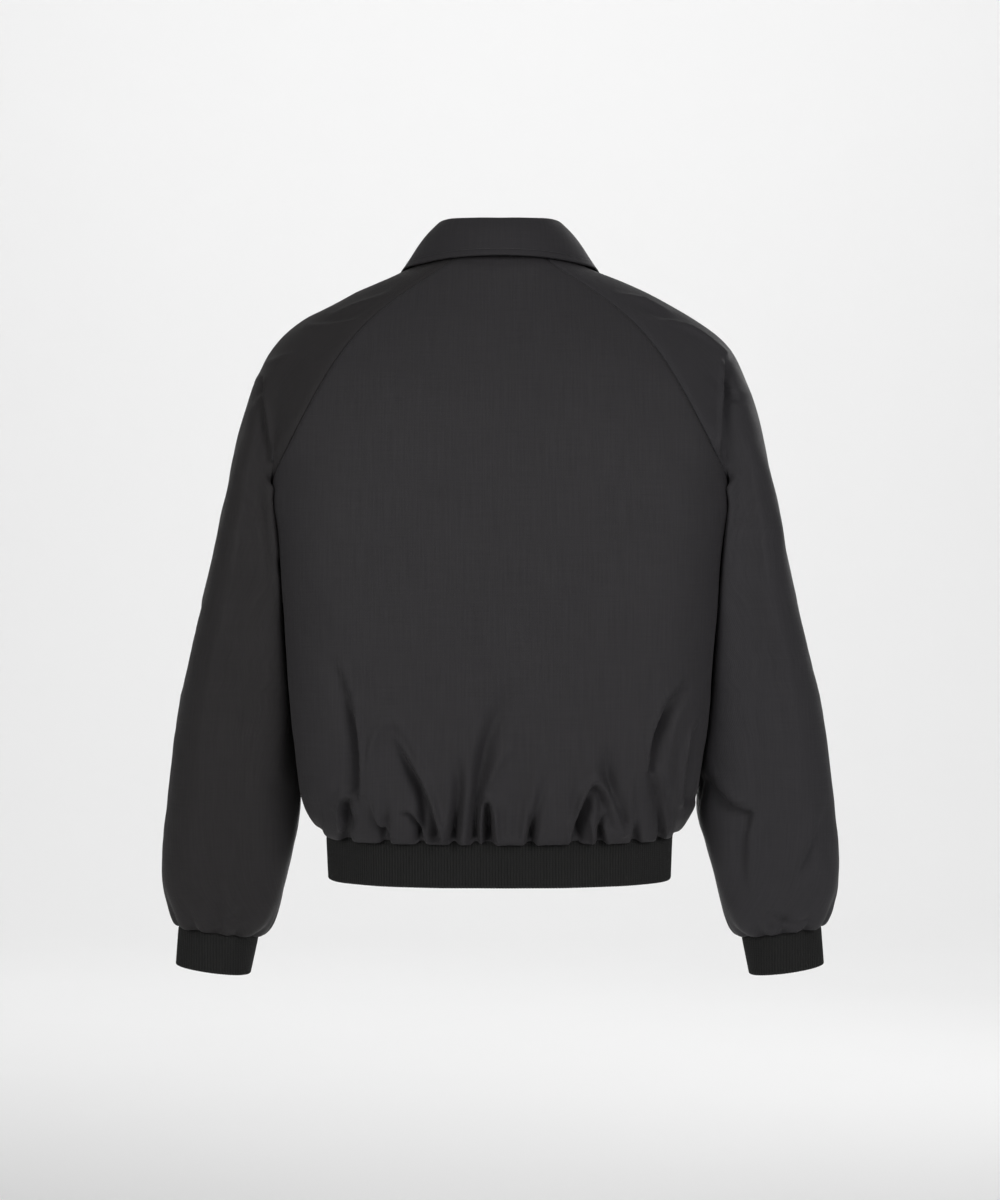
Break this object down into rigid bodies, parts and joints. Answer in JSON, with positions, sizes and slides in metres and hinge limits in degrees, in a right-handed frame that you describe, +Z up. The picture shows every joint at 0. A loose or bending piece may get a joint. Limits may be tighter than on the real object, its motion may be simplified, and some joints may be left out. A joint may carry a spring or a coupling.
{
  "type": "bomber jacket",
  "caption": "Hollow black blouson with raglan sleeves, fold-down collar, gathered rib hem and cuffs, and a closed front zip with a hinged pull.",
  "frame": {"origin": "centre of the neck opening at the neck seam, where the wearer holds the jacket up", "axes": "+Z up, -Y the wearer's front, +X the wearer's left"},
  "size_m": [0.6814, 0.296, 0.7561],
  "materials": {
    "shell_cloth": "matte, finely ribbed black cotton and nylon twill",
    "sleeve_cloth": "the same black twill, cut for the sleeves",
    "collar_cloth": "the same black twill, faced and topstitched",
    "rib_knit": "matte black one by one rib knit",
    "zip_tape": "matte black woven tape",
    "zip_metal": "satin black metal"
  },
  "bodies": {
    "jacket": {"back": "shell_cloth", "front_left": "shell_cloth", "front_right": "shell_cloth", "sleeve_left": "sleeve_cloth", "sleeve_right": "sleeve_cloth", "collar_stand": "collar_cloth", "collar_leaf": "collar_cloth", "hem_rib": "rib_knit", "cuff_left": "rib_knit", "cuff_right": "rib_knit", "zip_tape_left": "zip_tape", "zip_tape_right": "zip_tape", "zip_chain": "zip_metal", "zip_slider": "zip_metal", "zip_box": "zip_metal"},
    "pull": {"zip_pull": "zip_metal"}
  },
  "joints": [
    {"name": "pull_swing", "type": "hinge", "parent": "jacket", "child": "pull", "pos_m": [0, -0.09565, -0.06983], "axis": [-1, 0, 0], "range_deg": [0, 140]}
  ]
}
